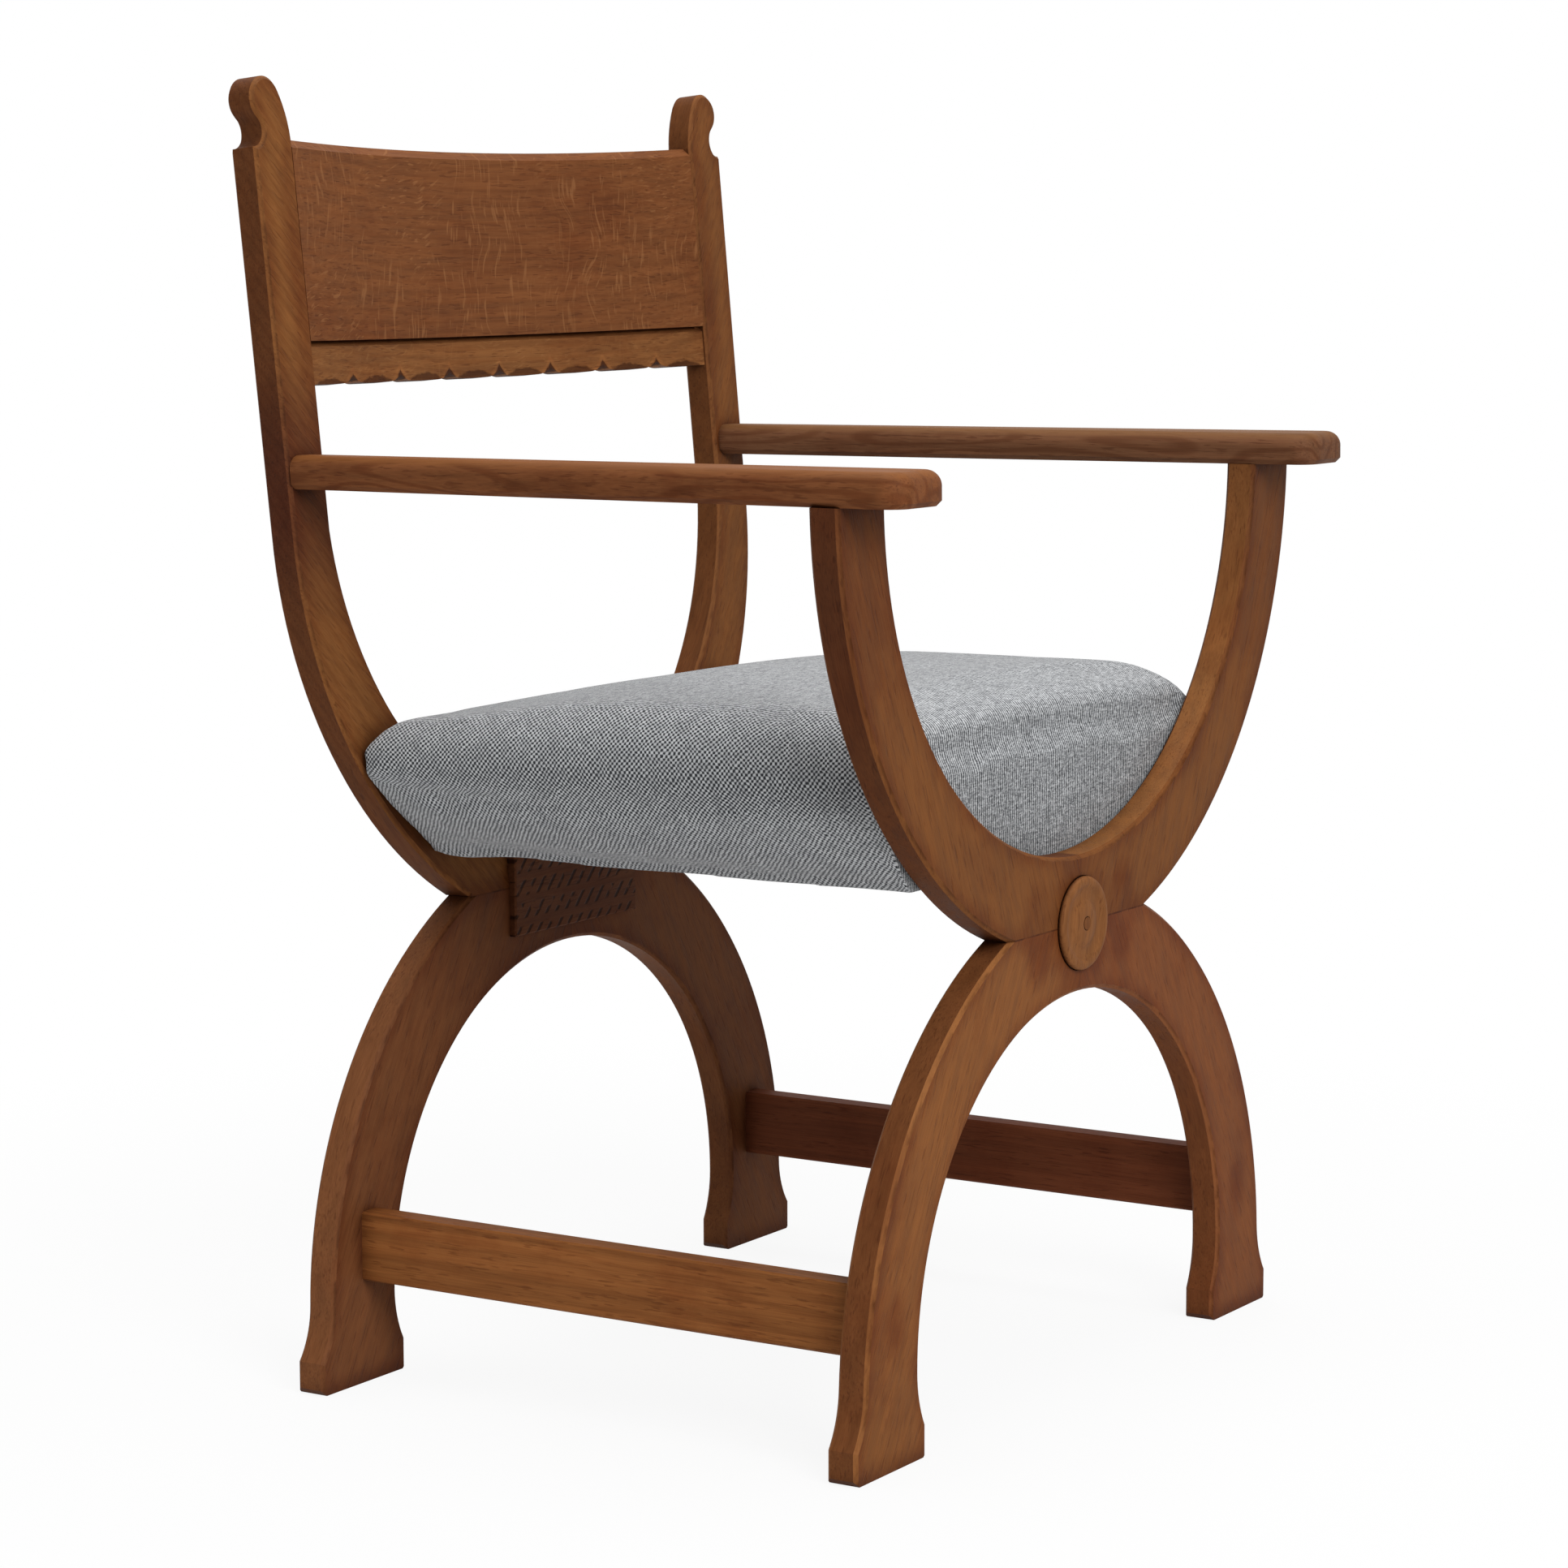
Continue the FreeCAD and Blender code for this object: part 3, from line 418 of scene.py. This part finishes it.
def steel():
    g = Graph("steel")
    scratch = g.noise(g.place(), 900, 3, 0.7)
    g.set(base_color=g.mix(scratch, rgb((0.42, 0.42, 0.43)), rgb((0.6, 0.6, 0.61))),
          roughness=g.band(scratch, 0.2, 0.8, 0.25, 0.45), metallic=1.0)
    g.bump(scratch, 0.05 * mm, 0.3)
    return g.material


def dress(node, material):
    mesh = nodes[node].data
    mesh.materials.clear()
    mesh.materials.append(material)


along_y = (0, 0, math.radians(-90))
golden = (0.19, 0.0705, 0.0205)
brown = (0.15, 0.055, 0.0155)
red = (0.165, 0.055, 0.018)
dark = (0.145, 0.0525, 0.019)

# Heights under the floor, for grime and painted shade that don't go again over them
under_floor = (-1, 0)

# What the planks of the frames, the boards of the back and the arms have in common
plank = {"rings": 120, "streaks": 0.65}
board = {"rings": 110, "streaks": 0.8, "turn": lay(0)}
arm = {"rings": 45, "swirl": 9.0, "figure": 0.65, "streaks": 0.8, "pale_top": 0.7, "turn": along_y}

# The edge factors below are partly the sides' own tone and partly painted light and shade
oak_pieces = {
    "front_upright_right": dict(plank, tone=brown, turn=lay(112), plane=front_plane, edge=(0.64, 0.57, 0.66),
                                arris=0.08, figure=0.06, grime_and_painted_shade=((0.45, 0.6), under_floor, 0.5)),
    "front_upright_left": dict(plank, tone=brown, turn=lay(68), plane=front_plane, edge=(1.25, 1.35, 1.4),
                               arris=0.08, figure=0.06, grime_and_painted_shade=((0.5, 0.6), under_floor, 0.35)),
    "front_leg_right": dict(plank, tone=golden, turn=lay(62), plane=front_plane, edge=(0.78, 0.74, 0.84),
                            arris=0.45, figure=0.06),
    "front_leg_left": dict(plank, tone=red, turn=lay(118), plane=front_plane, edge=(0.9, 0.88, 0.9),
                           arris=0.3, figure=0.06),
    "back_leg_right": dict(plank, tone=dark, turn=lay(62), plane=back_plane, edge=(1.25, 1.3, 1.35),
                           arris=0.15, figure=0.06),
    "back_leg_left": dict(plank, tone=dark, turn=lay(118), plane=back_plane, edge=(1.0, 1.0, 1.0),
                          arris=0.15, figure=0.06),
    "back_post_right": dict(plank, tone=(0.178, 0.069, 0.0198), turn=lay(135), plane=post_plane,
                            edge=(0.62, 0.55, 0.66), arris=0.04, figure=0.3,
                            grime_and_painted_shade=((0.745, 0.655), (0.52, 0.62), 1.0)),
    "back_post_left": dict(plank, tone=(0.16, 0.06, 0.0175), turn=lay(60), plane=post_plane,
                           edge=(0.7, 0.65, 0.7), arris=0.1, figure=0.15),
    "armrest_right": dict(arm, tone=(0.152, 0.0535, 0.0192)),
    "armrest_left": dict(arm, tone=(0.128, 0.055, 0.026)),
    "stretcher_right": dict(tone=(0.247, 0.09, 0.0257), turn=along_y, rings=60, swirl=6.0, figure=0.25),
    "stretcher_left": dict(tone=(0.13, 0.037, 0.015), turn=along_y, rings=45, swirl=4.0, figure=0.15),
    "back_panel": dict(board, tone=(0.15, 0.053, 0.0175), figure=0.25, fleck=0.45),
    "scalloped_rail": dict(board, tone=(0.18, 0.071, 0.0225), fleck=0.2, carved=True),
    "rosette_plug": dict(tone=brown, turn=lay(90)),
}
for number, (node, look) in enumerate(oak_pieces.items(), start=1):
    dress(node, oak(node, seed=number, **look))
for node in ("front_crossing_block", "back_crossing_block"):
    dress(node, oak(node, (0.108, 0.037, 0.0143), lay(0), seed=16, streaks=0.5, gouged=True))
for node in ("front_crossing_tenons", "back_crossing_tenons", "arm_tenons", "seat_rail_front",
             "seat_rail_back"):
    dress(node, beech(node, lay(0)))
for node in ("seat_rail_left", "seat_rail_right", "seat_corner_blocks"):
    dress(node, beech(node, along_y))
for node in ("seat_webbing_long", "seat_webbing_cross"):
    dress(node, cloth(node, (0.32, 0.25, 0.16), 2.2 * mm))
dress("seat_dust_cover", cloth("lining", (0.03, 0.03, 0.032), 1.2 * mm))
dress("seat_screws", steel())


# Meshes
def skin(name, rings):
    """Closed mesh through rings of points in metres, with a face over each end."""
    shell = bmesh.new()
    loops = [[shell.verts.new(point) for point in ring] for ring in rings]
    for here, after in zip(loops, loops[1:]):
        for index in range(len(here)):
            step = (index + 1) % len(here)
            shell.faces.new((here[index], here[step], after[step], after[index]))
    shell.faces.new(loops[0])
    shell.faces.new(loops[-1])
    bmesh.ops.recalc_face_normals(shell, faces=shell.faces)
    mesh = bpy.data.meshes.new(name)
    shell.to_mesh(mesh)
    shell.free()
    piece = bpy.data.objects.new(name, mesh)
    scene.collection.objects.link(piece)
    return piece


def round_off(piece, levels):
    for face in piece.data.polygons:
        face.use_smooth = True
    finer = piece.modifiers.new("finer", "SUBSURF")
    finer.levels = levels
    finer.render_levels = levels


def turn_rosette():
    """The disc as turned and worn: soft rim, sunk ring and boss. Its CAD plug sits in the boss.

    The profile gives radius and rise over the front face, in millimetres.
    """
    rim = [(33.5, -3.8), (33.5, 3.6), (31.0, 5.2), (27.0, 5.2)]
    sunk_ring = [(24.5, 2.4), (17.5, 2.3)]
    boss = [(14.5, 5.2), (5.6, 5.6), (4.7, 5.4), (4.7, 1.6)]
    sides = 64
    turns = [full_turn * index / sides for index in range(sides)]
    rings = [[(radius * mm * math.cos(turn), front_face - rise * mm,
               joint_height + radius * mm * math.sin(turn)) for turn in turns]
             for radius, rise in rim + sunk_ring + boss]
    rosette = skin("turned_rosette", rings)
    round_off(rosette, 2)
    rosette.data.materials.append(oak("turned_rosette", (0.18, 0.071, 0.0235), lay(80), seed=17, rings=60,
                                      figure=0.12, streaks=0.6))
    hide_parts("front_rosette")
    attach(rosette, "root")


turn_rosette()

# Seat: sections in millimetres across the cushion, from its front to its back
tilt = math.radians(0.75)
seat_front, seat_back = -216.6, 198.07
seat_length = seat_back - seat_front
seat_turn = np.array(Matrix.Rotation(-tilt, 3, "X"))
pivot = np.array((0.0, -217.0, 377.0))

# Its half widths at the hem and at the widest line, and the heights of that line and of the crown
foot_front, foot_back = 200.0, 170.0
bulge_half, bulge_rise, side_swell, back_swell = 238.0, 67.0, 13.0, 12.0
crown_front, crown_middle, crown_back = 127.5, 127.0, 104.0

# Its rolled edges: at the sides a share of the height, from the brow's angle round to the waist's, and at the
# ends a length and a drop. The ends draw in a little, and the flanks swing on under the waist.
side_roll = 0.88
brow, waist = math.radians(85), math.radians(-25)
front_roll, front_drop = 46.0, 26.0
back_roll, back_drop = 24.0, 20.0
corner_draw = 0.5
flank_swing = 0.45

# Points along the parts of a half section
crown_points, roll_points, flank_points, base_points = 30, 24, 12, 24

# How its cover is filled, and pressed against the frames and the lining
voxel = 5 * mm
inset, most_swell = 3.5 * mm, 3.8 * mm
hem_height, hem_hold = 12.0, 5.0
cloth_frames = 20
front_gap, back_gap = 0.1, 0.3
lining_margin, lining_rise = 4.0, 1.5

# Gaps to a frame that are closed, by height, and how gently wider ones are left
closed_heights, closed_gaps, gap_fade = (50, 100), (5.0, 0.3), 5.0

# How its hem hangs at the sides: a ripple all along, and a sag in front of the back corners
hem_drop, ripple_depth, ripple_length = 0.3, 0.4, 23
sag_depth, sag_forward, sag_length = 3.0, 30, 28
hang_from, hang_fade, hang_height = 130, 30, 26


def end_roll(distance, length):
    """How far the crown has come down its drop, at a distance from the end."""
    reach = max(0.0, 1 - distance / length)
    return 1 - math.sqrt(1 - reach ** 2)


def half_section(share):
    """Points on the left half of a section, from the top of the crown to the middle of the underside."""
    place = 2 * share - 1
    rearward = max(0.0, place) ** 2
    at_front = end_roll(share * seat_length, front_roll)
    at_back = end_roll((1 - share) * seat_length, back_roll)
    end_crown = crown_front if place < 0 else crown_back
    crown = end_crown + (crown_middle - end_crown) * (1 + math.cos(math.pi * place)) / 2
    crown -= front_drop * at_front + back_drop * at_back
    half = bulge_half + side_swell * (1 - place ** 2) + back_swell * rearward
    half -= corner_draw * (at_front + at_back)
    roll = side_roll * (crown - bulge_rise)
    foot = foot_front + (foot_back - foot_front) * share

    edge = (half - roll + roll * math.cos(brow), bulge_rise + roll * math.sin(brow))
    rise = crown - edge[1]
    radius = (edge[0] ** 2 + rise ** 2) / (2 * rise)
    spread = math.asin(edge[0] / radius)
    points = [(radius * math.sin(spread * t), crown - radius + radius * math.cos(spread * t))
              for t in np.linspace(0, 1, crown_points)]
    points += [(half - roll + roll * math.cos(angle), bulge_rise + roll * math.sin(angle))
               for angle in np.linspace(brow, waist, roll_points)[1:]]
    start, end = np.array(points[-1]), np.array((foot, 0.0))
    swing = start + np.array((math.sin(waist), -math.cos(waist))) * flank_swing * np.linalg.norm(end - start)
    swing += ((start + end) / 2 - swing) * rearward
    points += [tuple((1 - t) ** 2 * start + 2 * t * (1 - t) * swing + t ** 2 * end)
               for t in np.linspace(0, 1, flank_points)[1:]]
    points += [(foot * (1 - t), 0.0) for t in np.linspace(0, 1, base_points)[1:]]
    return points


def tilted(flat):
    """Places in metres of points given in millimetres: across, along and over a level seat's underside."""
    return ((flat - (0, pivot[1], 0)) @ seat_turn.T + pivot) * mm


def level(points):
    """The same the other way."""
    return (points / mm - pivot) @ seat_turn + (0, pivot[1], 0)


def fall(share):
    """How much a section leans back at a share of the seat's length."""
    return np.tan(np.clip(share, 0, 1) * (lean - tilt))


def seat_shell():
    steps = 60
    rings = []
    for index in range(steps + 1):
        share = (1 - math.cos(math.pi * index / steps)) / 2
        half = half_section(share)
        ring = half + [(-x, up) for x, up in half[-2:0:-1]]
        flat = np.array([(x, seat_front + share * seat_length + up * fall(share), up) for x, up in ring])
        rings.append([tuple(point) for point in tilted(flat)])
    return skin("seat", rings)


def apply_modifiers(piece):
    evaluated = piece.evaluated_get(bpy.context.evaluated_depsgraph_get())
    mesh = bpy.data.meshes.new_from_object(evaluated)
    piece.modifiers.clear()
    piece.data = mesh


def values_of(mesh, kind):
    found = np.zeros(len(mesh.vertices) * 3)
    mesh.vertices.foreach_get(kind, found)
    return found.reshape(-1, 3)


def set_points(mesh, points):
    mesh.vertices.foreach_set("co", points.ravel())
    mesh.update()


def swell(seat):
    """Fills the cover from a slightly smaller shape. Its hem is held, and no point moves past the most."""
    start = values_of(seat.data, "co") - values_of(seat.data, "normal") * inset
    set_points(seat.data, start)
    hem = seat.vertex_groups.new(name="hem")
    hem.add([int(index) for index in np.nonzero(level(start)[:, 2] < hem_height)[0]], 1.0, "REPLACE")
    cover = seat.modifiers.new("cover", "CLOTH")
    cover.settings.quality = 5
    cover.settings.mass = 0.3
    cover.settings.tension_stiffness = 15
    cover.settings.compression_stiffness = 15
    cover.settings.bending_stiffness = 0.5
    cover.settings.vertex_group_mass = "hem"
    cover.settings.use_pressure = True
    cover.settings.uniform_pressure_force = 4
    cover.settings.effector_weights.gravity = 0
    cover.collision_settings.use_collision = False
    cover.point_cache.frame_start = 1
    cover.point_cache.frame_end = cloth_frames
    for number in range(1, cloth_frames + 1):
        scene.frame_set(number)
    apply_modifiers(seat)
    moved = values_of(seat.data, "co") - start
    length = np.linalg.norm(moved, axis=1, keepdims=True)
    set_points(seat.data, start + moved * np.minimum(1, most_swell / np.maximum(length, 1e-9)))
    scene.frame_set(1)


def settle(gap, height):
    """Closes narrow gaps to a frame, wider ones low down than in the rolled edge, and leaves the rest."""
    narrow = np.interp(height, closed_heights, closed_gaps)
    share = np.clip((gap - narrow) / gap_fade, 0, 1)
    return gap * share ** 2 * (3 - 2 * share)


def press_flat(seat):
    """Presses the ends against the frames and the hem to the underside, which hangs a little at the sides.

    The middle of the underside rises into the thickness of the lining, so that the lining shows.
    """
    flat = level(values_of(seat.data, "co"))
    last = seat_back - back_gap + flat[:, 2] * fall(1)
    flat[:, 1] = seat_front + front_gap + settle(flat[:, 1] - seat_front, flat[:, 2])
    flat[:, 1] = last - settle(last - flat[:, 1], flat[:, 2])
    flat[:, 2] = np.where(flat[:, 2] < hem_hold, 0, flat[:, 2])
    ripple = hem_drop + ripple_depth * np.sin(flat[:, 1] / ripple_length)
    sag = sag_depth * np.exp(-((flat[:, 1] - seat_back + sag_forward) / sag_length) ** 2)
    outside = np.clip((np.abs(flat[:, 0]) - hang_from) / hang_fade, 0, 1)
    lowest = np.clip(1 - flat[:, 2] / hang_height, 0, 1)
    flat[:, 2] -= (ripple + sag) * (outside * lowest)
    low, high = (np.array(corner[:2]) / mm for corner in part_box("seat_dust_cover"))
    over_lining = np.all((flat[:, :2] > low - lining_margin) & (flat[:, :2] < high + lining_margin), axis=1)
    flat[:, 2] = np.where(over_lining & (flat[:, 2] < hem_hold), lining_rise, flat[:, 2])
    set_points(seat.data, tilted(flat))


def lay_cloth(seat):
    """Lays the weave of the sides: across is measured round a section, and along from front to back.

    Across is the same all along the widest line. Under it the cover is slack, so the rows there lie closer.
    """
    sections, steps, widest_across, slack = 48, 700, 270.0, 1.3
    flat = level(values_of(seat.data, "co"))
    share = (flat[:, 1] - seat_front) / seat_length
    share = np.clip((flat[:, 1] - seat_front - flat[:, 2] * fall(share)) / seat_length, 0, 1)
    across = np.zeros(len(flat))
    for index in range(sections + 1):
        near = 1 - np.abs(share * sections - index)
        chosen = np.nonzero(near > 0)[0]
        line = np.array(half_section(index / sections))
        run = np.concatenate(([0], np.cumsum(np.linalg.norm(np.diff(line, axis=0), axis=1))))
        fine = np.linspace(0, run[-1], steps)
        line = np.stack((np.interp(fine, run, line[:, 0]), np.interp(fine, run, line[:, 1])), 1)
        widest = fine[line[:, 0].argmax()]
        fine = np.where(fine > widest, widest_across + (fine - widest) * slack, fine * widest_across / widest)
        aside = np.abs(flat[chosen, 0])[:, None] - line[:, 0]
        above = flat[chosen, 2][:, None] - line[:, 1]
        across[chosen] += near[chosen] * fine[(aside ** 2 + above ** 2).argmin(1)]
    lie = np.stack((across * np.sign(flat[:, 0]), flat[:, 1], np.zeros(len(flat))), 1)
    seat.data.attributes.new("cloth", "FLOAT_VECTOR", "POINT").data.foreach_set("vector", lie.ravel())


def make_seat():
    seat = seat_shell()
    remesh = seat.modifiers.new("remesh", "REMESH")
    remesh.mode = "VOXEL"
    remesh.voxel_size = voxel
    apply_modifiers(seat)
    swell(seat)
    soften = seat.modifiers.new("soften", "SMOOTH")
    soften.factor = 0.5
    soften.iterations = 3
    apply_modifiers(seat)
    press_flat(seat)
    lay_cloth(seat)
    round_off(seat, 1)
    seat.data.materials.append(tweed())
    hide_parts("seat_cover", "seat_foam")
    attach(seat, "root")


make_seat()


# Floor and light
def shown_white(tree, own):
    """White in place of a shader's own light, for what is seen directly, in gloss and through glass."""
    ray = tree.nodes.new("ShaderNodeLightPath")
    seen = ray.outputs["Is Camera Ray"]
    for kind in ("Is Glossy Ray", "Is Transmission Ray"):
        either = tree.nodes.new("ShaderNodeMath")
        either.operation = "MAXIMUM"
        tree.links.new(seen, either.inputs[0])
        tree.links.new(ray.outputs[kind], either.inputs[1])
        seen = either.outputs[0]
    white = tree.nodes.new("ShaderNodeEmission")
    white.inputs["Color"].default_value = (1, 1, 1, 1)
    white.inputs["Strength"].default_value = 1.0
    blend = tree.nodes.new("ShaderNodeMixShader")
    tree.links.new(own, blend.inputs[1])
    tree.links.new(white.outputs[0], blend.inputs[2])
    return seen, blend


def floor():
    """Pale floor just under the feet. Near the chair some shadow shows, and further off it is white."""
    reach, drop = 14.0, -0.4 * mm
    near, far, near_white = 0.5, 1.3, 0.91
    pale, paler = (0.8, 0.8, 0.8), (0.84, 0.84, 0.84)
    mesh = bpy.data.meshes.new("floor")
    corners = ((-reach, -reach), (reach, -reach), (reach, reach), (-reach, reach))
    mesh.from_pydata([(x, y, drop) for x, y in corners], [], [(0, 1, 2, 3)])
    plane = bpy.data.objects.new("floor", mesh)
    scene.collection.objects.link(plane)
    g = Graph("floor")
    place = g.place()
    g.set(base_color=g.mix(g.noise(place, 3), rgb(pale), rgb(paler)), roughness=0.9, specular_ior_level=0.1)
    seen, blend = shown_white(g.tree, g.shader.outputs[0])
    away = g.node("ShaderNodeVectorMath", {0: place}, operation="LENGTH").outputs["Value"]
    g.put(g.times(seen, g.band(away, near, far, near_white, 1.0)), blend.inputs[0])
    g.put(blend.outputs[0], g.tree.nodes["Material Output"].inputs["Surface"])
    mesh.materials.append(g.material)


def sky(strength):
    world = bpy.data.worlds.new("studio")
    scene.world = world
    world.use_nodes = True
    tree = world.node_tree
    light = tree.nodes["Background"]
    light.inputs["Color"].default_value = (1, 1, 1, 1)
    light.inputs["Strength"].default_value = strength
    seen, blend = shown_white(tree, light.outputs[0])
    tree.links.new(seen, blend.inputs[0])
    tree.links.new(blend.outputs[0], tree.nodes["World Output"].inputs["Surface"])


def lamp(name, place, size, power):
    target = Vector((0, 0, 0.4))
    light = bpy.data.lights.new(name, "AREA")
    light.shape = "DISK"
    light.size = size
    light.energy = power
    made = bpy.data.objects.new(name, light)
    made.location = place
    made.rotation_euler = (target - Vector(place)).to_track_quat("-Z", "Y").to_euler()
    scene.collection.objects.link(made)


place_camera()
floor()
sky(0.25)
lamp("key", (-1.7, -2.9, 2.5), size=2.2, power=105)
lamp("top", (0.2, 0.2, 3.4), size=2.6, power=72)

scene.view_settings.view_transform = "Standard"
